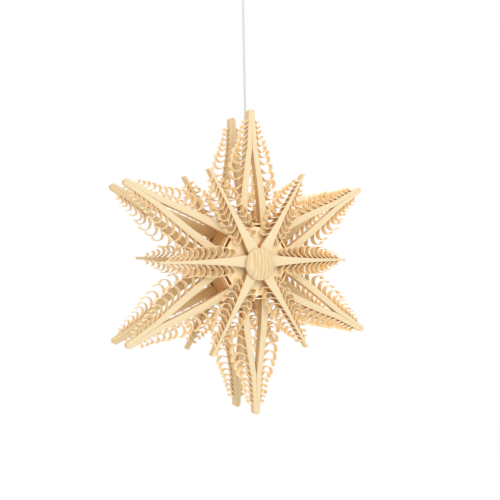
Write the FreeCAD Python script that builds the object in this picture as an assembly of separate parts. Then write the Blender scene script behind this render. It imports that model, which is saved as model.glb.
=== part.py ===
"""Hanging star of curled wooden sticks, in millimetres.

A six-sided block of wood carries six rays. Each ray is a V of two curled sticks at
the front and an equal V behind it, with a short crosspiece at the open end. Twelve
wedge-shaped spokes, six on each face of the block, lie over the gaps between the
rays, and a domed turned button covers the place where six spokes meet. A plain cord
glued into the top of the block holds the star up and ends in a knot and a loop.

The origin is the middle of the block. +Z is up, -Y is the front, and the rays lie
in planes parallel to XZ. Angles are measured from +X, anticlockwise from the front.
"""
import FreeCAD
import Part
import math
import os
from FreeCAD import Vector

os.makedirs("parts", exist_ok=True)

# Hub block
HUB_FLAT = 41.0            # centre to each of the six flats
HUB_HALF_DEPTH = 33.4      # middle plane to the front face
CORD_BORE_DEPTH = 12.0     # blind hole for the cord in the top flat

# Rays: one V of two sticks at the front, one behind
RAY_TIP = 185.0            # centre to the tip of a ray
RAY_SINK = 2.4             # front face of the block down to the front of the sticks
STICK_DEPTH = 9.4          # thickness of every ray stick, front to back
RAY_TIP_WIDTH = 3.5        # face of one stick at the tip
RAY_WAIST_WIDTH = 6.9      # face of one stick where the two part
RAY_BASE_WIDTH = 10.0      # face of one stick at the hub
RAY_GLUED = 48.0           # length of the glued stretch, from the tip inwards
RAY_SPREAD = 9.3           # axis of the ray to the inner edge of a stick, at the hub
RAY_BOW = 1.6              # how round the two sticks spread, 1 is straight
RAY_TIP_SLOPE = 1.8        # how much the outer corner of a tip is cut back
RAY_EDGE_STEPS = 4         # straight runs along the bowed inner edge
RAY_BARE_TIP = 13.0        # tip to the first curl
RAY_BARE_FOOT = 12.0       # no curl starts this near the block
RAY_FIRST_PITCH = 6.8
RAY_PITCH_RATIO = 1.075    # each gap between curls over the one before

# Crosspiece in the open end of each V
CROSS_THICK = 1.6
CROSS_GAP = 3.2            # flat of the block to the crosspiece
CROSS_PROUD = 1.4          # how far it stands out in front of the sticks
CROSS_DEPTH = 10.8

# Spokes
SPOKE_TIP = 125.0          # centre to the tip
SPOKE_DEPTH = 10.0
SPOKE_TIP_WIDTH = 2.4
SPOKE_MID = 46.0           # centre to the place where the taper slackens
SPOKE_MID_WIDTH = 6.6
SPOKE_BASE_WIDTH = 15.2    # widest part, under the button
SPOKE_PLAY = 1.0           # foot of a spoke to the line between it and its neighbour
SPOKE_LEANS = {            # degrees by which front spokes were glued on askew
    "upper_right": -1.6,
    "left": -3.3,
    "lower_right": 1.5,
}
SPOKE_BARE_TIP = 10.0
SPOKE_BARE_FOOT = 14.0     # no curl starts this near the button
SPOKE_FIRST_PITCH = 7.8
SPOKE_PITCH_RATIO = 1.095

# Curled shavings, each an arc that starts on the edge of its stick. Angles are taken
# from the direction of the hub towards the open side.
SHAVING = 0.9              # thickness of a shaving
CURL_FOOT = 1.4            # width of its root along the stick
CURL_ROOT = -79.0          # angle of the root
CURL_TURNS = (-13.0, 97.0, 146.0)    # angles of the corners, the last one its free end
SMALL_REACH = 13.0         # a curl shorter than this is wound less far
SMALL_CURL_TURNS = (5.0, 108.0)
RAY_REACH_TIP = 6.0        # how far a curl stands off its stick, at the tip
RAY_REACH = 16.0           # and from the middle of the ray inwards
RAY_REACH_BASE = 11.0      # and for the curl nearest the hub
RAY_REACH_RUN = 50.0       # first curl to the first one with the full reach
SPOKE_REACH_TIP = 5.0
SPOKE_REACH = 14.4
SPOKE_REACH_BASE = 8.5
SPOKE_REACH_RUN = 23.0

# Turned buttons
BUTTON_RADIUS = 19.5
BUTTON_RIM = 2.4           # height of the straight rim
BUTTON_DOME = 5.2          # rise of the dome over the rim
BUTTON_CROWN = 3.0         # radius of the flat spot where the lathe held it
BUTTON_BANDS = 4           # straight cuts that make up the dome
BUTTON_SIDES = 32          # flats that make up the round
BUTTON_DROP = 3.5          # the front button was glued on this much too low

# Cord, from the bore up to the knot
CORD_DIAMETER = 3.0
CORD_PLAY = 0.3            # gap round the cord in its bore
CORD_ROUTE = [
    Vector(0.0, 0.0, HUB_FLAT - CORD_BORE_DEPTH),
    Vector(0.0, 0.0, 74.0),
    Vector(1.0, 0.0, 122.0),
    Vector(7.0, 0.0, 174.0),
    Vector(7.0, 0.0, 334.0),
]
BEND_SHARE = 0.45          # tangent length of a bend over the shorter run beside it

# Knot and loop at the upper end of the cord
KNOT_RADIUS = 3.9
KNOT_LENGTH = 8.0
KNOT_SHOULDER = 1.8        # slope at each end of the barrel
KNOT_SIDES = 14
LOOP_WIDTH = 11.0          # middle of the cord to middle of the cord
LOOP_HEIGHT = 19.0         # top of the knot to the middle of the cord at the top
LOOP_RUNS = 8              # straight runs round the eye of the loop
LOOP_SIDES = 10

# Places that follow from the sizes
RAY_FRONT = HUB_HALF_DEPTH - RAY_SINK
RAY_JOINT = RAY_TIP - RAY_GLUED
RAY_FIRST_CURL = RAY_TIP - RAY_BARE_TIP
SPOKE_FIRST_CURL = SPOKE_TIP - SPOKE_BARE_TIP
SPOKE_FRONT = HUB_HALF_DEPTH + SPOKE_DEPTH

# Names of the arms, anticlockwise from the right as seen from the front
RAY_PLACES = ("upper_right", "top", "upper_left", "lower_left", "bottom", "lower_right")
SPOKE_PLACES = ("right", "upper_right", "upper_left", "left", "lower_left", "lower_right")
FRONT = -1
REAR = 1


def save(shape, name):
    shape.exportStep("parts/" + name + ".step")


def between(a, b, share):
    return a + (b - a) * share


def star_point(along, across, angle, y):
    """A point this far along an arm and this far across it, to its left."""
    turn = math.radians(angle)
    x = along * math.cos(turn) - across * math.sin(turn)
    z = along * math.sin(turn) + across * math.cos(turn)
    return Vector(x, y, z)


def plate(outline, angle, y_near, depth):
    """Extrude an outline of (along, across) points from y_near to y_near + depth."""
    corners = [star_point(along, across, angle, y_near) for along, across in outline]
    face = Part.Face(Part.makePolygon(corners + corners[:1]))
    return face.extrude(Vector(0.0, depth, 0.0))


def corner_angle(number):
    """Direction of a corner of the block, where a spoke points."""
    return 360.0 / len(SPOKE_PLACES) * number


def flat_angle(number):
    """Direction of a flat of the block, where a ray points."""
    return corner_angle(number + 0.5)


def curl(root, direction, outward, reach):
    """Outline of one shaving, walked from the tip side of its root to the hub side.

    It leaves the edge of the stick towards the hub, winds outwards, and comes round
    until its end points back to the tip of the stick.
    """
    small = reach < SMALL_REACH
    start = math.radians(CURL_ROOT)
    radius = reach / (1.0 - math.sin(start))
    outside = []
    inside = []
    for angle in SMALL_CURL_TURNS if small else CURL_TURNS:
        turn = math.radians(angle)
        for line, size in ((outside, radius), (inside, radius - SHAVING)):
            back = size * math.cos(turn) - radius * math.cos(start)
            out = size * math.sin(turn) - radius * math.sin(start)
            line.append((back, out))
    foot = [] if small else [(CURL_FOOT, 0.0)]
    points = []
    for back, out in [(0.0, 0.0)] + inside[:-1] + outside[::-1] + foot:
        along = root[0] + back * direction[0] + out * outward[0]
        across = root[1] + back * direction[1] + out * outward[1]
        points.append((along, across))
    return points


def curl_roots(first, last, first_pitch, ratio):
    """Distances along a stick at which its curls start, from the tip to the hub."""
    roots = []
    along = first
    pitch = first_pitch
    while along > last:
        roots.append(along)
        along -= pitch
        pitch *= ratio
    return roots


def curled_edge(edge, roots, reach_at):
    """All the shavings along one edge, from the tip of the stick to the hub."""
    points = []
    for along in roots:
        here = (along, edge(along))
        ahead = (along - CURL_FOOT, edge(along - CURL_FOOT))
        length = math.hypot(ahead[0] - here[0], ahead[1] - here[1])
        direction = ((ahead[0] - here[0]) / length, (ahead[1] - here[1]) / length)
        outward = (direction[1], -direction[0])
        points.extend(curl(here, direction, outward, reach_at(along)))
    return points


def ramp(along, tip_at, tip_value, full_at, full_value):
    """Straight line from tip_value at tip_at to full_value at full_at, then level."""
    share = (tip_at - along) / (tip_at - full_at)
    return between(tip_value, full_value, min(max(share, 0.0), 1.0))


def ray_station(step):
    """Corner of the bowed inner edge of a ray stick, counted from the hub."""
    share = step / RAY_EDGE_STEPS
    along = between(HUB_FLAT, RAY_JOINT, share)
    return along, RAY_SPREAD * (1.0 - share ** RAY_BOW)


def ray_inner(along):
    """Inner edge of a ray stick: on the axis as far as the joint, then bowed out."""
    if along >= RAY_JOINT:
        return 0.0
    step = int(RAY_EDGE_STEPS * (along - HUB_FLAT) / (RAY_JOINT - HUB_FLAT))
    low = ray_station(step)
    high = ray_station(step + 1)
    return between(low[1], high[1], (along - low[0]) / (high[0] - low[0]))


def ray_outer(along):
    if along >= RAY_JOINT:
        return ramp(along, RAY_TIP, RAY_TIP_WIDTH, RAY_JOINT, RAY_WAIST_WIDTH)
    width = ramp(along, RAY_JOINT, RAY_WAIST_WIDTH, HUB_FLAT, RAY_BASE_WIDTH)
    return ray_inner(along) + width


def ray_stick():
    """Outline of one stick of a ray, on the left side of the ray's axis."""
    foot = HUB_FLAT + RAY_BARE_FOOT
    roots = curl_roots(RAY_FIRST_CURL, foot, RAY_FIRST_PITCH, RAY_PITCH_RATIO)

    def reach_at(along):
        if along == roots[-1]:
            return RAY_REACH_BASE
        full_at = RAY_FIRST_CURL - RAY_REACH_RUN
        return ramp(along, RAY_FIRST_CURL, RAY_REACH_TIP, full_at, RAY_REACH)

    outline = [(RAY_TIP, 0.0), (RAY_TIP - RAY_TIP_SLOPE, RAY_TIP_WIDTH)]
    outline += curled_edge(ray_outer, roots, reach_at)
    outline.append((HUB_FLAT, ray_outer(HUB_FLAT)))
    outline += [ray_station(step) for step in range(RAY_EDGE_STEPS + 1)]
    return outline


def spoke_half_width(along):
    if along >= SPOKE_MID:
        return ramp(along, SPOKE_TIP, SPOKE_TIP_WIDTH, SPOKE_MID, SPOKE_MID_WIDTH) / 2.0
    return ramp(along, SPOKE_MID, SPOKE_MID_WIDTH, spoke_shoulder(), SPOKE_BASE_WIDTH) / 2.0


def spoke_point():
    """Distance from the centre of the star to the pointed foot of a spoke."""
    return SPOKE_PLAY / math.sin(math.radians(flat_angle(0)))


def spoke_shoulder():
    """Distance along a spoke at which its pointed foot has its full width."""
    return spoke_point() + SPOKE_BASE_WIDTH / 2.0 / math.tan(math.radians(flat_angle(0)))


def spoke_outline():
    foot = BUTTON_RADIUS + SPOKE_BARE_FOOT
    roots = curl_roots(SPOKE_FIRST_CURL, foot, SPOKE_FIRST_PITCH, SPOKE_PITCH_RATIO)

    def reach_at(along):
        if along == roots[-1]:
            return SPOKE_REACH_BASE
        full_at = SPOKE_FIRST_CURL - SPOKE_REACH_RUN
        return ramp(along, SPOKE_FIRST_CURL, SPOKE_REACH_TIP, full_at, SPOKE_REACH)

    left = [(SPOKE_TIP, SPOKE_TIP_WIDTH / 2.0)]
    left += curled_edge(spoke_half_width, roots, reach_at)
    left.append((spoke_shoulder(), SPOKE_BASE_WIDTH / 2.0))
    right = [(along, -across) for along, across in reversed(left)]
    return left + [(spoke_point(), 0.0)] + right


def near_side(face, layer_front, depth):
    """Lowest y of a layer whose outer face is layer_front from the middle plane."""
    if face == FRONT:
        return -layer_front
    return layer_front - depth


def make_hub():
    corner = HUB_FLAT / math.cos(math.radians(flat_angle(0)))
    outline = []
    for number in range(len(SPOKE_PLACES)):
        turn = math.radians(corner_angle(number))
        outline.append((corner * math.cos(turn), corner * math.sin(turn)))
    block = plate(outline, 0.0, -HUB_HALF_DEPTH, 2.0 * HUB_HALF_DEPTH)
    bore_floor = Vector(0.0, 0.0, HUB_FLAT - CORD_BORE_DEPTH)
    bore = Part.makeCylinder(CORD_DIAMETER / 2.0 + CORD_PLAY, CORD_BORE_DEPTH, bore_floor)
    save(block.cut(bore), "hub_block")


def make_rays():
    stick = ray_stick()
    mirrored = [(along, -across) for along, across in stick]
    seat = HUB_FLAT + CROSS_GAP
    top = seat + CROSS_THICK
    crosspiece = [
        (seat, -ray_inner(seat)),
        (top, -ray_inner(top)),
        (top, ray_inner(top)),
        (seat, ray_inner(seat)),
    ]
    for side, face in (("front", FRONT), ("rear", REAR)):
        stick_near = near_side(face, RAY_FRONT, STICK_DEPTH)
        cross_near = near_side(face, RAY_FRONT + CROSS_PROUD, CROSS_DEPTH)
        for number, place in enumerate(RAY_PLACES):
            angle = flat_angle(number)
            name = side + "_ray_" + place
            save(plate(stick, angle, stick_near, STICK_DEPTH), name + "_stick_a")
            save(plate(mirrored, angle, stick_near, STICK_DEPTH), name + "_stick_b")
            save(plate(crosspiece, angle, cross_near, CROSS_DEPTH), name + "_crosspiece")


def make_spokes():
    outline = spoke_outline()
    for side, face in (("front", FRONT), ("rear", REAR)):
        near = near_side(face, SPOKE_FRONT, SPOKE_DEPTH)
        for number, place in enumerate(SPOKE_PLACES):
            angle = corner_angle(number)
            if face == FRONT:
                angle += SPOKE_LEANS.get(place, 0.0)
            spoke = plate(outline, angle, near, SPOKE_DEPTH)
            save(spoke, side + "_spoke_" + place)


def skin(rings):
    """A solid of flat faces through rings of corners, closed at the first and last."""
    faces = [Part.Face(Part.makePolygon(ring + ring[:1])) for ring in (rings[0], rings[-1])]
    for low, high in zip(rings, rings[1:]):
        for number in range(len(low)):
            after = (number + 1) % len(low)
            corners = [low[number], low[after], high[after], high[number]]
            faces.append(Part.Face(Part.makePolygon(corners + corners[:1])))
    return Part.makeSolid(Part.makeShell(faces))


def turned(profile, sides, axis, foot):
    """A turned piece as a stack of many-sided rings of (radius, height) from its foot."""
    turn = FreeCAD.Rotation(Vector(0.0, 0.0, 1.0), axis)
    rings = []
    for radius, height in profile:
        ring = []
        for number in range(sides):
            lean = 2.0 * math.pi * number / sides
            around = Vector(radius * math.cos(lean), radius * math.sin(lean), height)
            ring.append(foot + turn.multVec(around))
        rings.append(ring)
    return skin(rings)


def mitred_tube(route, diameter, sides):
    """A many-sided tube along straight runs in the plane of the star, mitred at each turn."""
    runs = [(end - start).normalize() for start, end in zip(route, route[1:])]
    rings = []
    for number, corner in enumerate(route):
        run = runs[max(number - 1, 0)]
        mitre = run + runs[min(number, len(runs) - 1)]
        ring = []
        for side in range(sides):
            lean = 2.0 * math.pi * side / sides
            across = Vector(0.0, 1.0, 0.0) * math.cos(lean)
            across += Vector(0.0, 1.0, 0.0).cross(run) * math.sin(lean)
            slide = across.dot(mitre) / run.dot(mitre)
            ring.append(corner + (across - run * slide) * (diameter / 2.0))
        rings.append(ring)
    return skin(rings)


def button(face, drop):
    """A turned disc with a straight rim and a domed face, seated on the spokes."""
    dome_radius = (BUTTON_RADIUS ** 2 + BUTTON_DOME ** 2) / (2.0 * BUTTON_DOME)
    dome_angle = math.asin(BUTTON_RADIUS / dome_radius)
    profile = [(BUTTON_RADIUS, 0.0)]
    for band in range(BUTTON_BANDS):
        lean = dome_angle * (1.0 - band / BUTTON_BANDS)
        sunk = dome_radius * (1.0 - math.cos(lean))
        profile.append((dome_radius * math.sin(lean), BUTTON_RIM + BUTTON_DOME - sunk))
    profile.append((BUTTON_CROWN, BUTTON_RIM + BUTTON_DOME))
    foot = Vector(0.0, SPOKE_FRONT * face, -drop)
    return turned(profile, BUTTON_SIDES, Vector(0.0, face, 0.0), foot)


def straight_tube(start, end, diameter):
    return Part.makeCylinder(diameter / 2.0, start.distanceToPoint(end), start, end - start)


def bent_tube(arc_start, come, leave, radius, turn, diameter):
    """A stretch of tube round one bend, from the direction come to leave."""
    inwards = (leave - come * leave.dot(come)).normalize()
    centre = arc_start + inwards * radius
    section = Part.Face(Part.Wire([Part.makeCircle(diameter / 2.0, arc_start, come)]))
    return section.revolve(centre, inwards.cross(come) * -1.0, math.degrees(turn))


def routed_tube(route, diameter):
    """Straight runs joined by tangent arcs. Returns the solid, its length and radii."""
    pieces = []
    radii = []
    length = 0.0
    start = route[0]
    for before, corner, after in zip(route, route[1:], route[2:]):
        come = (corner - before).normalize()
        leave = (after - corner).normalize()
        turn = come.getAngle(leave)
        tangent = BEND_SHARE * min(before.distanceToPoint(corner), corner.distanceToPoint(after))
        radius = tangent / math.tan(turn / 2.0)
        arc_start = corner - come * tangent
        pieces.append(straight_tube(start, arc_start, diameter))
        pieces.append(bent_tube(arc_start, come, leave, radius, turn, diameter))
        length += start.distanceToPoint(arc_start) + radius * turn
        radii.append(radius)
        start = corner + leave * tangent
    pieces.append(straight_tube(start, route[-1], diameter))
    length += start.distanceToPoint(route[-1])
    return pieces[0].multiFuse(pieces[1:]), length, radii


def make_cord():
    cord, length, radii = routed_tube(CORD_ROUTE, CORD_DIAMETER)
    expected = math.pi * (CORD_DIAMETER / 2.0) ** 2 * length
    print("cord length %.1f, bend radii %s" % (length, [round(r) for r in radii]))
    print("cord volume %.1f, section times length %.1f" % (cord.Volume, expected))
    save(cord, "cord")


def make_knot():
    """A tied knot, drawn as a short barrel, with the loop of the same cord above it."""
    top = CORD_ROUTE[-1]
    mouth = CORD_DIAMETER / 2.0 + KNOT_SHOULDER / 2.0
    profile = [
        (mouth, 0.0),
        (KNOT_RADIUS, KNOT_SHOULDER),
        (KNOT_RADIUS, KNOT_LENGTH - KNOT_SHOULDER),
        (mouth, KNOT_LENGTH),
    ]
    barrel = turned(profile, KNOT_SIDES, Vector(0.0, 0.0, 1.0), top)

    bend = LOOP_WIDTH / 2.0
    eye = Vector(top.x, top.y, top.z + KNOT_LENGTH + LOOP_HEIGHT - bend)
    foot_gap = CORD_DIAMETER / 2.0
    foot_rise = eye.z - top.z - KNOT_LENGTH / 2.0
    opening = math.acos(bend / math.hypot(foot_gap, foot_rise)) + math.atan2(foot_gap, foot_rise)
    route = [Vector(eye.x - foot_gap, eye.y, eye.z - foot_rise)]
    for step in range(LOOP_RUNS + 1):
        lean = between(opening, 2.0 * math.pi - opening, step / LOOP_RUNS)
        route.append(Vector(eye.x - bend * math.sin(lean), eye.y, eye.z - bend * math.cos(lean)))
    route.append(Vector(eye.x + foot_gap, eye.y, eye.z - foot_rise))
    loop = mitred_tube(route, CORD_DIAMETER, LOOP_SIDES)
    save(barrel.fuse(loop), "cord_knot")


make_hub()
make_rays()
make_spokes()
save(button(FRONT, BUTTON_DROP), "front_button")
save(button(REAR, 0.0), "rear_button")
make_cord()
make_knot()
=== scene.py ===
"""A hanging star of curled wooden sticks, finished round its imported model.

All places are in metres in the model's own frame: the origin is the middle of the hub
block, +Z is up, -Y is the front, and the rays lie in planes parallel to XZ.
"""
import math
import random

import bmesh
import bpy
from mathutils import Matrix, Quaternion, Vector


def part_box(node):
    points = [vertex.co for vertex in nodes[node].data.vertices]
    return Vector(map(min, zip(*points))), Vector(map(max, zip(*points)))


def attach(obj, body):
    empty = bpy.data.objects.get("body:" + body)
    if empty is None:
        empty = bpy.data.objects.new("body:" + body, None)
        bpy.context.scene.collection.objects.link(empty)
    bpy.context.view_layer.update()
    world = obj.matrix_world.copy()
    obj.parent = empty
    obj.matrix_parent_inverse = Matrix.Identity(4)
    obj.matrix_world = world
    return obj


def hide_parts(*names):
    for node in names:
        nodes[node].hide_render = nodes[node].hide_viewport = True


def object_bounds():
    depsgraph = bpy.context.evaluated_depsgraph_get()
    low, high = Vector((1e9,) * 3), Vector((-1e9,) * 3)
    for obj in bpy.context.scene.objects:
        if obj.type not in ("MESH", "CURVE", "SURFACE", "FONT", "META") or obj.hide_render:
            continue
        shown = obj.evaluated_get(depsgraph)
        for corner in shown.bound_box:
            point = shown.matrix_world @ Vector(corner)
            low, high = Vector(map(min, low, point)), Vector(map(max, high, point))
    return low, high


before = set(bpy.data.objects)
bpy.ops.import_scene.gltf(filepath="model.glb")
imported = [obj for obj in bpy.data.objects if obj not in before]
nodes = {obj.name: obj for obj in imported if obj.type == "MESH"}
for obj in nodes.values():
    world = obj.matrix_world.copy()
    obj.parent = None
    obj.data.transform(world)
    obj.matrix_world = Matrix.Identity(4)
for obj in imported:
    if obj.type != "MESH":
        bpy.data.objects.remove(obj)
cad_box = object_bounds()
MM = 0.001

# Camera
# It stands to the left of the star and level with its middle, and looks a little past the
# star's centre, so that the cord has room above.
CAMERA_AZIMUTH = math.radians(-27.4)
CAMERA_ELEVATION = math.radians(-0.93)
CAMERA_ROLL = math.radians(-1.05)
CAMERA_DISTANCE = 851.7 * MM
CAMERA_AIM = Vector((5.9, -8.1, 14.1)) * MM
CAMERA_LENS = 49.4
CAMERA_SENSOR = 36.0

camera_back = Vector((
    math.sin(CAMERA_AZIMUTH) * math.cos(CAMERA_ELEVATION),
    -math.cos(CAMERA_AZIMUTH) * math.cos(CAMERA_ELEVATION),
    math.sin(CAMERA_ELEVATION),
))
camera = bpy.data.objects.new("camera", bpy.data.cameras.new("camera"))
camera.data.lens = CAMERA_LENS
camera.data.sensor_width = CAMERA_SENSOR
camera.location = CAMERA_AIM + camera_back * CAMERA_DISTANCE
camera.rotation_mode = "QUATERNION"
camera.rotation_quaternion = (
    (-camera_back).to_track_quat("-Z", "Y") @ Quaternion((0.0, 0.0, 1.0), CAMERA_ROLL)
)
bpy.context.scene.collection.objects.link(camera)
bpy.context.scene.camera = camera
bpy.context.scene.view_settings.view_transform = "Standard"

# Light and floor
# Soft daylight from all round, a wide soft lamp in front, a second one behind on the right
# that brightens the outer curls, and a white floor far below that takes the star's shadow
# and merges with the white behind.
DAYLIGHT = 1.0
DAYLIGHT_COLOUR = (0.98, 0.99, 1.0, 1.0)
WHITE = (1.0, 1.0, 1.0, 1.0)
FLOOR_BELOW = 0.35
FLOOR_SIZE = 30.0
FLOOR_PAINT = (0.86, 0.86, 0.86, 1.0)
FLOOR_NEAR = 0.3
FLOOR_FAR = 1.6
FLOOR_GLOW_NEAR = 0.86
SOFT_SPECULAR = 0.25


class Wire:
    """An output of a node, so that shader maths reads as plain expressions."""

    def __init__(self, finish, socket):
        self.finish = finish
        self.socket = socket

    def maths(self, operation, first, second):
        return self.finish.node("Math", {"operation": operation}, {0: first, 1: second})

    def __add__(self, other):
        return self.maths("ADD", self, other)

    def __radd__(self, other):
        return self.maths("ADD", other, self)

    def __sub__(self, other):
        return self.maths("SUBTRACT", self, other)

    def __rsub__(self, other):
        return self.maths("SUBTRACT", other, self)

    def __mul__(self, other):
        return self.maths("MULTIPLY", self, other)

    def __rmul__(self, other):
        return self.maths("MULTIPLY", other, self)

    def __pow__(self, other):
        return self.maths("POWER", self, other)


class Finish:
    """A node tree in the making. Any node comes from its node method."""

    def __init__(self, name, tree=None):
        if tree is None:
            self.material = bpy.data.materials.new(name)
            self.material.use_nodes = True
            tree = self.material.node_tree
        self.tree = tree

    def node(self, kind, settings, inputs, output=0):
        made = self.tree.nodes.new("ShaderNode" + kind)
        for name, value in settings.items():
            setattr(made, name, value)
        for name, value in inputs.items():
            self.feed(made.inputs[name], value)
        return Wire(self, made.outputs[output])

    def feed(self, socket, value):
        if isinstance(value, Wire):
            self.tree.links.new(value.socket, socket)
        else:
            socket.default_value = value

    def mix(self, share, low, high):
        """Colour low where share is 0 and colour high where it is 1."""
        return self.node("Mix", {"data_type": "RGBA"}, {0: share, 6: low, 7: high}, 2)

    def surface(self, shader):
        self.feed(self.tree.nodes["Material Output"].inputs["Surface"], shader)

    def lit_end_faces(self):
        """1 on the faces that look to the front or the back, 0 on the sides: the mask by which
        the sides are painted darker, as shade, than the ends.
        """
        across = self.node("TexCoord", {}, {}, "Normal")
        across = self.node("SeparateXYZ", {}, {0: across}, "Y")
        across = self.node("Math", {"operation": "ABSOLUTE"}, {0: across})
        return self.node("MapRange", {}, {"Value": across, "From Min": 0.55, "From Max": 0.8})

    def wood(self, colour, roughness, bump):
        """Send colour, roughness and bump to the one shader of a solid piece."""
        shader = self.tree.nodes["Principled BSDF"]
        self.feed(shader.inputs["Base Color"], colour)
        self.feed(shader.inputs["Roughness"], roughness)
        self.feed(shader.inputs["Normal"], bump)
        shader.inputs["Specular IOR Level"].default_value = SOFT_SPECULAR


world = bpy.data.worlds.new("daylight")
world.use_nodes = True
bpy.context.scene.world = world
sky = Finish("sky", world.node_tree)
seen = sky.node("LightPath", {}, {}, "Is Camera Ray")
seen = seen + sky.node("LightPath", {}, {}, "Is Glossy Ray")
seen = seen + sky.node("LightPath", {}, {}, "Is Transmission Ray")
soft_light = sky.node("Background", {}, {"Color": DAYLIGHT_COLOUR, "Strength": DAYLIGHT})
white = sky.node("Background", {}, {"Color": WHITE, "Strength": 1.0})
backdrop = sky.node("MixShader", {}, {0: seen, 1: soft_light, 2: white})
sky.feed(world.node_tree.nodes["World Output"].inputs["Surface"], backdrop)


def lamp(name, place, size, power):
    """A square soft lamp at a place, turned towards the middle of the star."""
    light = bpy.data.objects.new(name, bpy.data.lights.new(name, "AREA"))
    light.data.size = size
    light.data.energy = power
    light.location = place
    light.rotation_mode = "QUATERNION"
    light.rotation_quaternion = (-Vector(place)).to_track_quat("-Z", "Y")
    bpy.context.scene.collection.objects.link(light)


lamp("front_lamp", place=(0.0, -1.5, 0.75), size=1.2, power=15.0)
lamp("back_lamp", place=(0.8, 1.2, 1.1), size=0.9, power=16.0)


def mesh_object(name, bm):
    """Make an object of a finished mesh, at the origin of the model's frame."""
    made = bpy.data.objects.new(name, bpy.data.meshes.new(name))
    bm.to_mesh(made.data)
    bm.free()
    bpy.context.scene.collection.objects.link(made)
    return made


floor_mesh = bmesh.new()
bmesh.ops.create_grid(floor_mesh, x_segments=1, y_segments=1, size=FLOOR_SIZE)
bmesh.ops.translate(
    floor_mesh, verts=floor_mesh.verts, vec=(0.0, 0.0, cad_box[0].z - FLOOR_BELOW)
)
floor = mesh_object("floor", floor_mesh)
floor_finish = Finish("white_floor")
paint = floor_finish.node("BsdfDiffuse", {}, {"Color": FLOOR_PAINT})
glow = floor_finish.node("Emission", {}, {"Color": WHITE, "Strength": 1.0})
floor_seen = floor_finish.node("LightPath", {}, {}, "Is Camera Ray")
floor_place = floor_finish.node("TexCoord", {}, {}, "Object")
far_off = floor_finish.node("VectorMath", {"operation": "LENGTH"}, {0: floor_place}, "Value")
far_off = floor_finish.node(
    "MapRange", {},
    {"Value": far_off, "From Min": FLOOR_NEAR, "From Max": FLOOR_FAR, "To Min": FLOOR_GLOW_NEAR},
)
floor_finish.surface(
    floor_finish.node("MixShader", {}, {0: floor_seen * far_off, 1: paint, 2: glow})
)
floor.data.materials.append(floor_finish.material)

# Cord
# One length of smooth off-white cord, glued into the top of the hub block. It runs up
# between the front and rear rays and is pulled straight by the star's weight.
CORD_DIAMETER = 3.0 * MM
CORD_FOOT = 29.0 * MM
CORD_DIM = (0.52, 0.54, 0.49, 1.0)
CORD_LIGHT = (0.58, 0.60, 0.55, 1.0)
cord_route = [
    (0.0, 0.0, CORD_FOOT),
    (0.0, 0.0, 74.0 * MM),
    (1.0 * MM, 0.0, 122.0 * MM),
    (7.0 * MM, 0.0, 174.0 * MM),
    (7.0 * MM, 0.0, 226.0 * MM),
    (7.0 * MM, 0.0, 334.0 * MM),
]
cord_finish = Finish("smooth_cord")
cord_place = cord_finish.node("TexCoord", {}, {}, "Object")
weave = cord_finish.node(
    "TexWave", {"bands_direction": "DIAGONAL"}, {"Vector": cord_place, "Scale": 420.0}
)
cord_finish.wood(
    cord_finish.mix(weave, CORD_DIM, CORD_LIGHT),
    0.6,
    cord_finish.node("Bump", {}, {"Strength": 0.25, "Distance": 0.1 * MM, "Height": weave}),
)


def strand(name, points, roundness, smoothness):
    """A round length of cord along points that a smooth line follows."""
    curve = bpy.data.curves.new(name, "CURVE")
    curve.dimensions = "3D"
    curve.bevel_depth = CORD_DIAMETER / 2.0
    curve.bevel_resolution = roundness
    curve.resolution_u = smoothness
    curve.use_fill_caps = True
    line = curve.splines.new("NURBS")
    line.points.add(len(points) - 1)
    for point, place in zip(line.points, points):
        point.co = (*place, 1.0)
    line.order_u = 3
    line.use_endpoint_u = True
    curve.materials.append(cord_finish.material)
    made = bpy.data.objects.new(name, curve)
    bpy.context.scene.collection.objects.link(made)
    return made


cord = strand("hanging_cord", cord_route, roundness=6, smoothness=24)
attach(cord, "root")
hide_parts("cord")

# Knot and loop
# The cord is tied in a barrel of three turns, and its end makes the loop that the star
# hangs by. The loop is the same cord, doubled back into the knot.
KNOT_TURNS = 3
KNOT_STEPS = 8
KNOT_RADIUS = 2.4 * MM
KNOT_LENGTH = 8.0 * MM
LOOP_HALF_WIDTH = 5.5 * MM
knot_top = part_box("cord_knot")[1].z
knot_axis = Vector(cord_route[-1])
loop_top = knot_top - CORD_DIAMETER / 2.0
loop_foot = knot_axis.z + KNOT_LENGTH
loop_points = []
for across, rise in ((-0.25, -0.1), (-0.3, 0.1), (-1.05, 0.62), (-0.8, 1.0), (0.8, 1.0),
                     (1.05, 0.62), (0.3, 0.1), (0.25, -0.1)):
    height = loop_foot + (loop_top - loop_foot) * rise
    loop_points.append((knot_axis.x + LOOP_HALF_WIDTH * across, 0.0, height))
loop = strand("hanging_loop", loop_points, roundness=5, smoothness=8)

knot_points = []
for step in range(KNOT_TURNS * KNOT_STEPS + 1):
    turn = 2.0 * math.pi * step / KNOT_STEPS
    height = knot_axis.z + CORD_DIAMETER / 2.0
    height += (KNOT_LENGTH - CORD_DIAMETER) * step / (KNOT_TURNS * KNOT_STEPS)
    knot_points.append((
        knot_axis.x + KNOT_RADIUS * math.cos(turn),
        KNOT_RADIUS * math.sin(turn),
        height,
    ))
knot = strand("tied_knot", knot_points, roundness=5, smoothness=8)
for piece in (loop, knot):
    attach(piece, "root")
    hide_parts("cord_knot")

# Hub block
# A six-sided block of plain wood that carries everything. Its front and rear are planed and
# painted pale, partly as light, and the six sawn sides that show inside the rays are rougher and
# painted much browner, partly as the shade deep inside the rays.
# The planed ends are painted pale, partly as light from the front, and the sawn sides dark
# brown, partly as the shade deep inside the rays.
PLANED_LIT_PALE = (0.86, 0.74, 0.48, 1.0)
PLANED_LIT_DARK = (0.80, 0.63, 0.36, 1.0)
SAWN_SHADE_PALE = (0.64, 0.36, 0.13, 1.0)
SAWN_SHADE_DARK = (0.46, 0.22, 0.07, 1.0)


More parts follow.
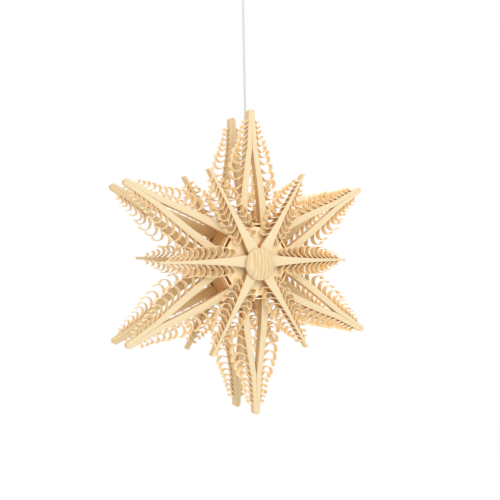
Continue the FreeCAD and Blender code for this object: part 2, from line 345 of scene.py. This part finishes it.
def sawn_shaded_wood(name, stretch, shaded_side_pale, shaded_side_dark):
    """Wood with pale planed ends, partly painted light, and browner sides, partly painted shade,
    streaked along the least stretch.
    """
    finish = Finish(name)
    place = finish.node("TexCoord", {}, {}, "Object")
    laid = finish.node("Mapping", {}, {"Vector": place, "Scale": stretch})
    grain = finish.node("TexNoise", {}, {"Vector": laid, "Scale": 1.0, "Detail": 5.0})
    blotch = finish.node("TexNoise", {}, {"Vector": place, "Scale": 45.0, "Detail": 2.0})
    shade = grain * 0.7 + blotch * 0.3
    ends = finish.mix(shade, PLANED_LIT_PALE, PLANED_LIT_DARK)
    sides = finish.mix(shade, shaded_side_pale, shaded_side_dark)
    finish.wood(
        finish.mix(finish.lit_end_faces(), sides, ends),
        0.62,
        finish.node("Bump", {}, {"Strength": 0.3, "Distance": 0.2 * MM, "Height": grain}),
    )
    return finish.material


def dress(node, material):
    """Give a node of the model its finish."""
    nodes[node].data.materials.clear()
    nodes[node].data.materials.append(material)


hub_wood = sawn_shaded_wood("hub_block_wood", (700.0, 60.0, 700.0), SAWN_SHADE_PALE, SAWN_SHADE_DARK)
dress("hub_block", hub_wood)

# Ray sticks
# Each ray is a V of two split sticks, glued side by side at the tip and sprung apart
# towards the hub, and each V has its twin behind the hub. A knife has raised a row of
# shavings along the outer edge of every stick, and each one has rolled up by itself.
RAY_PLACES = ("upper_right", "top", "upper_left", "lower_left", "bottom", "lower_right")
FIRST_RAY = 30.0
SIXTH_OF_TURN = 60.0
STICK_TIP_WIDTH = 3.5 * MM
STICK_WAIST_WIDTH = 6.9 * MM
STICK_BASE_WIDTH = 10.0 * MM
RAY_GLUED = 48.0 * MM
GLUE_REACH = 20.0 * MM
HAIR_GAP = 0.2 * MM
RAY_SPREAD = 9.3 * MM
RAY_BOW = 1.6
TIP_SLOPE = 1.8 * MM
STICK_BEVEL = 0.3 * MM
RAY_CUTS = 36
SOFTENED_FROM = math.radians(35.0)
SHADED_SHARP_FROM = math.radians(38.0)
RAY_CURL = {"bare_tip": 13.0 * MM, "bare_foot": 10.0 * MM, "pitch": 5.6 * MM, "ratio": 1.075,
            "widest_pitch": 11.5 * MM, "small": 5.8 * MM, "reach": 17.4 * MM, "last": 13.0 * MM,
            "rise": 52.0 * MM}
SHAVING = 0.85 * MM
SHAVING_INSET = 0.35 * MM
SHAVING_ROOT = 2.6 * MM
SHAVING_TAPER = (0.97, 0.99, 0.97)
ARM_STEPS = 2
BEND_STEPS = 6
ROLL_STEPS = 4
SMALL_CURL = {"reach": 6.0 * MM, "lift": 30.0, "arm": 0.55, "bend": 0.28, "roll": 0.20}
LARGE_CURL = {"reach": 16.0 * MM, "lift": 42.0, "arm": 0.30, "bend": 0.42, "roll": 0.24}
# Each curl differs a little from its neighbours: in degrees, as a length, then in shares
# of its reach and of the pitch.
LIFT_PLAY = (-4.0, 4.0)
LAST_TURN = (10.0, 60.0)
SWAY_PLAY = 0.12 * MM
REACH_PLAY = (0.93, 1.05)
PITCH_PLAY = (0.93, 1.07)
CURLS_TO_LAST = 3.0

ray_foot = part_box("front_ray_top_stick_a")[0].z
ray_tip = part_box("front_ray_top_stick_a")[1].z


def eased(along, tip_at, tip_value, full_at, full_value):
    """A straight change between two places, level beyond the second one."""
    share = min(max((tip_at - along) / (tip_at - full_at), 0.0), 1.0)
    return tip_value + (full_value - tip_value) * share


def ray_inner(along):
    """The stick's edge on the axis of its ray, then bowed away from it.

    The glue holds only at the very tip, and from there to the split the two sticks stand
    a hair apart.
    """
    joint = ray_tip - RAY_GLUED
    if along >= joint:
        return eased(along, ray_tip - GLUE_REACH, 0.0, joint, HAIR_GAP)
    share = max(along - ray_foot, 0.0) / (joint - ray_foot)
    return HAIR_GAP + (RAY_SPREAD - HAIR_GAP) * (1.0 - share ** RAY_BOW)


def ray_outer(along):
    joint = ray_tip - RAY_GLUED
    if along >= joint:
        return eased(along, ray_tip, STICK_TIP_WIDTH, joint, STICK_WAIST_WIDTH)
    width = eased(along, joint, STICK_WAIST_WIDTH, ray_foot, STICK_BASE_WIDTH)
    return ray_inner(along) + width


def bar(stretch, depth, inner, outer, cuts):
    """A straight bar, cut into short lengths and pulled to the stick's two edges."""
    bm = bmesh.new()
    bmesh.ops.create_cube(bm, size=1.0)
    bmesh.ops.subdivide_edges(
        bm, edges=[e for e in bm.edges if abs(e.verts[0].co.x - e.verts[1].co.x) > 0.5],
        cuts=cuts, use_grid_fill=True,
    )
    for vert in bm.verts:
        along = stretch[0] + (stretch[1] - stretch[0]) * (vert.co.x + 0.5)
        edge = outer if vert.co.z > 0.0 else inner
        near = depth[0] if vert.co.y < 0.0 else depth[1]
        vert.co = (along, near, edge(along))
    return bm


def soften(bm, width):
    """Take the sharpness off every long edge."""
    sharp = [e for e in bm.edges if e.calc_face_angle(0.0) > SOFTENED_FROM]
    bmesh.ops.bevel(
        bm, geom=sharp, offset=width, offset_type="OFFSET", segments=2, profile=0.5,
        affect="EDGES", material=-1, clamp_overlap=True,
    )


def add_curl(bm, layers, root, direction, outward, reach, depth, draw):
    """One shaving: lifted off the edge, straight for a while, then bent and rolled up.

    It is a thin block in the stick, whose end face is drawn out step by step. Angles are
    taken from the direction of the hub towards the open side.
    """
    grown_up = (reach - SMALL_CURL["reach"]) / (LARGE_CURL["reach"] - SMALL_CURL["reach"])
    grown_up = min(max(grown_up, 0.0), 1.0)
    lift, arm, bend, roll = [
        SMALL_CURL[part] + (LARGE_CURL[part] - SMALL_CURL[part]) * grown_up
        for part in ("lift", "arm", "bend", "roll")
    ]
    lift = math.radians(lift + draw.uniform(*LIFT_PLAY))
    back = math.pi - lift
    size = reach / (arm * math.sin(lift) + bend * (math.cos(lift) + 1.0))
    last_turn = math.radians(draw.uniform(*LAST_TURN))
    strokes = [(arm * size / ARM_STEPS, 0.0)] * ARM_STEPS
    strokes += [(bend * size * back / BEND_STEPS, back / BEND_STEPS)] * BEND_STEPS
    strokes += [(roll * size * last_turn / ROLL_STEPS, last_turn / ROLL_STEPS)] * ROLL_STEPS

    width = depth[1] - depth[0] - 2.0 * SHAVING_INSET
    skin = bmesh.ops.create_cube(bm, size=1.0)["verts"]
    bmesh.ops.scale(bm, verts=skin, vec=(SHAVING_ROOT, width, SHAVING))
    bmesh.ops.translate(bm, verts=skin, vec=(-SHAVING_ROOT / 2.0, 0.0, 0.0))
    end = max({f for v in skin for f in v.link_faces}, key=lambda f: f.calc_center_median().x)
    bmesh.ops.rotate(bm, verts=skin, matrix=Matrix.Rotation(-lift, 3, "Y"))
    start = draw.uniform(0.0, 1.0)
    for vert in skin:
        vert[layers["grain"]] = (start, vert.co.y, 0.0)
    heading = lift
    length = 0.0
    sway = draw.uniform(-SWAY_PLAY, SWAY_PLAY)
    whole = sum(stroke for stroke, turn in strokes)
    for stroke, turn in strokes:
        end = bmesh.ops.extrude_discrete_faces(bm, faces=[end])["faces"][0]
        centre = end.calc_center_median()
        bmesh.ops.rotate(bm, verts=end.verts, cent=centre, matrix=Matrix.Rotation(-turn, 3, "Y"))
        bmesh.ops.scale(
            bm, verts=end.verts, vec=SHAVING_TAPER, space=Matrix.Translation(-centre)
        )
        mean = heading + turn / 2.0
        bmesh.ops.translate(
            bm, verts=end.verts, vec=(stroke * math.cos(mean), sway, stroke * math.sin(mean))
        )
        heading += turn
        length += stroke
        for vert in end.verts:
            vert[layers["grain"]] = (start + length, vert.co.y, 0.0)
            vert[layers["curl"]] = length / whole
        skin += end.verts
    place = Matrix((
        (direction.x, 0.0, outward.x, root.x),
        (direction.y, 1.0, outward.y, root.y),
        (direction.z, 0.0, outward.z, root.z),
        (0.0, 0.0, 0.0, 1.0),
    ))
    bmesh.ops.transform(bm, matrix=place, verts=skin)


def add_curls(bm, layers, row, stretch, depth, edge, side, draw):
    """A row of shavings along one edge, closer and smaller towards the tip.

    The last few before the bare foot grow shorter again.
    """
    first = stretch[1] - row["bare_tip"]
    last = stretch[0] + row["bare_foot"]
    along = first
    pitch = row["pitch"]
    middle = (depth[0] + depth[1]) / 2.0
    while along > last:
        growing = eased(along, first, row["small"], first - row["rise"], row["reach"])
        ending = eased(along, last + CURLS_TO_LAST * pitch, row["reach"], last, row["last"])
        reach = min(growing, ending) * draw.uniform(*REACH_PLAY)
        here = Vector((along, middle, side * edge(along)))
        further = along - pitch / 4.0
        ahead = Vector((further, middle, side * edge(further)))
        direction = (ahead - here).normalized()
        outward = Vector((direction.z, 0.0, -direction.x)) * side
        add_curl(bm, layers, here, direction, outward, reach, depth, draw)
        along -= pitch * draw.uniform(*PITCH_PLAY)
        pitch = min(pitch * row["ratio"], row["widest_pitch"])


def carve(name, bm, angle, mirror):
    """Turn a finished stick to its place on the star and make it an object."""
    if mirror:
        bmesh.ops.scale(bm, verts=bm.verts, vec=(1.0, 1.0, -1.0))
    bmesh.ops.rotate(bm, verts=bm.verts, matrix=Matrix.Rotation(-angle, 3, "Y"))
    bmesh.ops.recalc_face_normals(bm, faces=bm.faces)
    for face in bm.faces:
        face.smooth = True
    for edge in bm.edges:
        edge.smooth = edge.calc_face_angle(0.0) < SHADED_SHARP_FROM
    return mesh_object(name, bm)


def grain_layers(bm):
    """Places on the stick before it is turned, and how far along a curl a point lies."""
    layers = {
        "grain": bm.verts.layers.float_vector.new("grain"),
        "curl": bm.verts.layers.float.new("curl"),
    }
    for vert in bm.verts:
        vert[layers["grain"]] = vert.co
    return layers


FRONT_PALE = (0.70, 0.585, 0.38, 1.0)
FRONT_DARK = (0.61, 0.465, 0.27, 1.0)
# Painted shade: the faces that look at the layer behind, inside the star, are painted browner
# near the hub.
INNER_SHADE_PALE = (0.66, 0.44, 0.20, 1.0)
INNER_SHADE_DARK = (0.52, 0.32, 0.13, 1.0)
# The sides of sticks and spokes are painted darker than their fronts, partly the wood's own tone
# and partly painted shade.
SIDE_PALE = (0.78, 0.58, 0.33, 1.0)
SIDE_DARK = (0.67, 0.45, 0.21, 1.0)
# Painted shade: the sides are painted dark brown near the hub, deep inside the rays.
FOOT_SHADE_PALE = (0.62, 0.35, 0.13, 1.0)
FOOT_SHADE_DARK = (0.50, 0.26, 0.08, 1.0)
# The broad faces of the shavings are painted bright orange: partly the wood's tone, partly
# painted light for light shining through the thin shavings.
ROLLED_LIT_PALE = (0.98, 0.82, 0.52, 1.0)
ROLLED_LIT_DARK = (0.98, 0.68, 0.35, 1.0)
# Where the painted shade near the hub starts and where it is full, along the stick.
HUB_SHADE_TO = 120.0 * MM
HUB_SHADE_FULL = 45.0 * MM


def split_wood(name):
    """Pale split wood with fine long streaks. The broad faces of a shaving are painted brighter
    and warmer, as light through the thin shavings and their warm shade. Its sides are painted
    darker than its fronts, and near the hub its sides and the faces that look at the layer
    behind are painted browner, all as shade.
    """
    finish = Finish(name)
    grain = finish.node("Attribute", {"attribute_name": "grain"}, {}, "Vector")
    curl = finish.node("Attribute", {"attribute_name": "curl"}, {}, "Fac")
    drawn = finish.node("Mapping", {}, {"Vector": grain, "Scale": (18.0, 620.0, 620.0)})
    streak = finish.node("TexNoise", {}, {"Vector": drawn, "Scale": 1.0, "Detail": 4.0})
    cloud = finish.node("Mapping", {}, {"Vector": grain, "Scale": (9.0, 60.0, 60.0)})
    shade = finish.node("TexNoise", {}, {"Vector": cloud, "Scale": 1.0, "Detail": 2.0})
    worn = streak * 0.6 + shade * 0.4
    fronts = finish.mix(worn, FRONT_PALE, FRONT_DARK)
    along = finish.node("SeparateXYZ", {}, {0: grain}, "X")
    # A mask of painted shade: 1 near the hub, fading to 0 further out.
    hub_shade = finish.node(
        "MapRange", {},
        {"Value": along, "From Min": HUB_SHADE_FULL, "From Max": HUB_SHADE_TO,
         "To Min": 1.0, "To Max": 0.0},
    )
    # Painted shade on the faces that look at the layer behind, strongest near the hub and left
    # off the shavings.
    inner = finish.mix(worn, INNER_SHADE_PALE, INNER_SHADE_DARK)
    facing = finish.node("TexCoord", {}, {}, "Normal")
    facing = finish.node("SeparateXYZ", {}, {0: facing}, "Y")
    depth = finish.node("SeparateXYZ", {}, {0: grain}, "Y")
    inward_shade = finish.node(
        "MapRange", {},
        {"Value": facing * depth, "From Min": -20.0 * MM, "From Max": -5.0 * MM,
         "To Min": 1.0, "To Max": 0.0},
    )
    inward_shade = inward_shade * (1.0 - curl ** 0.1) * (hub_shade * 0.75 + 0.25)
    fronts = finish.mix(inward_shade, fronts, inner)
    sides = finish.mix(worn, SIDE_PALE, SIDE_DARK)
    foot_shade = finish.mix(worn, FOOT_SHADE_PALE, FOOT_SHADE_DARK)
    sides = finish.mix(hub_shade, sides, foot_shade)
    # Painted light: the shavings' broad faces get the bright orange colour along the curl.
    rolled_lit = finish.mix(worn, ROLLED_LIT_PALE, ROLLED_LIT_DARK)
    sides = finish.mix(curl ** 0.3, sides, rolled_lit)
    finish.wood(
        finish.mix(finish.lit_end_faces(), sides, fronts),
        0.58,
        finish.node("Bump", {}, {"Strength": 0.25, "Distance": 0.15 * MM, "Height": streak}),
    )
    return finish.material


ray_wood = split_wood("split_ray_wood")
for side_name in ("front", "rear"):
    for number, place_name in enumerate(RAY_PLACES):
        for stick_name, mirrored in (("stick_a", False), ("stick_b", True)):
            node = side_name + "_ray_" + place_name + "_" + stick_name
            low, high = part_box(node)
            depth = (low.y, high.y)
            draw = random.Random(node)
            stretch = (ray_foot, ray_tip)
            bm = bar(stretch, depth, ray_inner, ray_outer, RAY_CUTS)
            for vert in bm.verts:
                if vert.co.x > ray_tip - MM and vert.co.z > MM:
                    vert.co.x -= TIP_SLOPE
            soften(bm, STICK_BEVEL)
            layers = grain_layers(bm)
            add_curls(bm, layers, RAY_CURL, stretch, depth, ray_outer, 1.0, draw)
            angle = math.radians(FIRST_RAY + SIXTH_OF_TURN * number)
            stick = carve("curled_" + node, bm, angle, mirrored)
            stick.data.materials.append(ray_wood)
            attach(stick, "root")
            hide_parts(node)

# Crosspieces
# A thin slip of sawn wood, glued across the open end of each V just clear of the hub
# block, so that the two sticks stay sprung apart.
# The crosspieces' sides are painted a darker orange-brown, partly their own tone and partly
# painted shade inside the V near the hub.
CROSS_SHADE_PALE = (0.80, 0.53, 0.25, 1.0)
CROSS_SHADE_DARK = (0.64, 0.38, 0.15, 1.0)
cross_wood = sawn_shaded_wood("crosspiece_wood", (300.0, 90.0, 300.0), CROSS_SHADE_PALE, CROSS_SHADE_DARK)
for side_name in ("front", "rear"):
    for place_name in RAY_PLACES:
        dress(side_name + "_ray_" + place_name + "_crosspiece", cross_wood)

# Spokes
# Wedge-shaped sticks on both faces of the hub block, over the gaps between the rays.
# Both of their edges are curled, and their broad feet are glued down under the button.
# Three of them were glued on a few degrees askew.
SPOKE_PLACES = ("right", "upper_right", "upper_left", "left", "lower_left", "lower_right")
SPOKE_BASE_WIDTH = 15.2 * MM
SPOKE_TIP_WIDTH = 3.2 * MM
SPOKE_HOLLOW = 2.3
SPOKE_PLAY = 1.0 * MM
SPOKE_BLUNT = 0.3 * MM
SPOKE_CUTS = 40
SPOKE_FOOT_SLOPE = math.radians(30.0)
SPOKE_LEANS = {"front_spoke_upper_right": -1.6, "rear_spoke_left": -3.0,
               "front_spoke_lower_right": 1.5}
SPOKE_CURL = {"bare_tip": 10.0 * MM, "bare_foot": 28.0 * MM, "pitch": 5.8 * MM, "ratio": 1.045,
              "widest_pitch": 8.4 * MM, "small": 5.0 * MM, "reach": 14.6 * MM, "last": 8.0 * MM,
              "rise": 23.0 * MM}
spoke_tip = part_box("front_spoke_right")[1].x
spoke_point = SPOKE_PLAY / math.sin(SPOKE_FOOT_SLOPE)
spoke_shoulder = spoke_point + SPOKE_BASE_WIDTH / 2.0 / math.tan(SPOKE_FOOT_SLOPE)


def spoke_outer(along):
    """Half the width of a spoke: a 60 degree point, then a hollow taper to the tip."""
    if along < spoke_shoulder:
        return (along - spoke_point) * math.tan(SPOKE_FOOT_SLOPE)
    share = (spoke_tip - along) / (spoke_tip - spoke_shoulder)
    return (SPOKE_TIP_WIDTH + (SPOKE_BASE_WIDTH - SPOKE_TIP_WIDTH) * share ** SPOKE_HOLLOW) / 2.0


def spoke_inner(along):
    return -spoke_outer(along)


spoke_wood = split_wood("split_spoke_wood")
for side_name in ("front", "rear"):
    for number, place_name in enumerate(SPOKE_PLACES):
        node = side_name + "_spoke_" + place_name
        low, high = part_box(node)
        depth = (low.y, high.y)
        draw = random.Random(node)
        stretch = (spoke_point + SPOKE_BLUNT, spoke_tip)
        bm = bar(stretch, depth, spoke_inner, spoke_outer, SPOKE_CUTS)
        soften(bm, STICK_BEVEL)
        layers = grain_layers(bm)
        for side in (1.0, -1.0):
            add_curls(bm, layers, SPOKE_CURL, stretch, depth, spoke_outer, side, draw)
        angle = math.radians(SIXTH_OF_TURN * number + SPOKE_LEANS.get(node, 0.0))
        spoke = carve("curled_" + node, bm, angle, False)
        spoke.data.materials.append(spoke_wood)
        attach(spoke, "root")
        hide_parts(node)

# Buttons
# A turned and sanded disc with a low dome, glued over the feet of the spokes on each
# face. Its growth rings show as uneven streaks across the dome.
BUTTON_RIM = 2.4 * MM
BUTTON_EDGE = 0.7 * MM
DOME_STEPS = 14
TURN_STEPS = 72
BUTTON_SHARP_FROM = math.radians(45.0)
STREAK_TILT = math.radians(-14.0)
BUTTON_PALE = (0.78, 0.62, 0.38, 1.0)
BUTTON_DARK = (0.46, 0.29, 0.12, 1.0)


def button(node, face):
    """Spin the dome's arc from one point, then the whole profile round the axis."""
    low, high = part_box(node)
    centre = (low + high) / 2.0
    radius = (high.x - low.x) / 2.0
    rise = (high.y - low.y) - BUTTON_RIM
    dome = (radius ** 2 + rise ** 2) / (2.0 * rise)
    seat = high.y if face < 0 else low.y
    bm = bmesh.new()
    crown = bm.verts.new((0.0, BUTTON_RIM + rise, 0.0))
    lean = math.asin(radius / dome)
    arc = bmesh.ops.spin(
        bm, geom=[crown], cent=(0.0, BUTTON_RIM + rise - dome, 0.0), axis=(0.0, 0.0, -1.0),
        dvec=(0.0, 0.0, 0.0), angle=lean, steps=DOME_STEPS, use_merge=False,
    )
    rim = [v for v in arc["geom_last"] if isinstance(v, bmesh.types.BMVert)][0]
    foot = bm.verts.new((rim.co.x, 0.0, 0.0))
    middle = bm.verts.new((0.0, 0.0, 0.0))
    bm.edges.new((rim, foot))
    bm.edges.new((foot, middle))
    bmesh.ops.spin(
        bm, geom=bm.verts[:] + bm.edges[:], cent=(0.0, 0.0, 0.0), axis=(0.0, 1.0, 0.0),
        dvec=(0.0, 0.0, 0.0), angle=2.0 * math.pi, steps=TURN_STEPS, use_merge=True,
    )
    bmesh.ops.remove_doubles(bm, verts=bm.verts, dist=0.01 * MM)
    bmesh.ops.recalc_face_normals(bm, faces=bm.faces)
    sharp = [e for e in bm.edges if e.calc_face_angle(0.0) > BUTTON_SHARP_FROM]
    bmesh.ops.bevel(
        bm, geom=sharp, offset=BUTTON_EDGE, offset_type="OFFSET", segments=4, profile=0.5,
        affect="EDGES", material=-1, clamp_overlap=True,
    )
    bmesh.ops.scale(bm, verts=bm.verts, vec=(1.0, face, 1.0))
    bmesh.ops.translate(bm, verts=bm.verts, vec=(centre.x, seat, centre.z))
    bmesh.ops.recalc_face_normals(bm, faces=bm.faces)
    for piece_face in bm.faces:
        piece_face.smooth = True
    return mesh_object("turned_" + node, bm)


button_finish = Finish("turned_button_wood")
button_place = button_finish.node("TexCoord", {}, {}, "Object")
tilted = button_finish.node(
    "Mapping", {},
    {"Vector": button_place, "Rotation": (0.0, STREAK_TILT, 0.0), "Scale": (1.0, 1.0, 0.2)},
)
rings = button_finish.node(
    "TexWave", {"bands_direction": "X"},
    {"Vector": tilted, "Scale": 60.0, "Distortion": 14.0, "Detail": 2.0, "Detail Scale": 0.5},
)
pores = button_finish.node("TexNoise", {}, {"Vector": tilted, "Scale": 300.0, "Detail": 4.0})
button_finish.wood(
    button_finish.mix(rings * 0.25 + pores * 0.75, BUTTON_PALE, BUTTON_DARK),
    0.42,
    button_finish.node("Bump", {}, {"Strength": 0.15, "Distance": 0.1 * MM, "Height": pores}),
)
for node, face in (("front_button", -1), ("rear_button", 1)):
    turned = button(node, face)
    turned.data.materials.append(button_finish.material)
    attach(turned, "root")
    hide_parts(node)
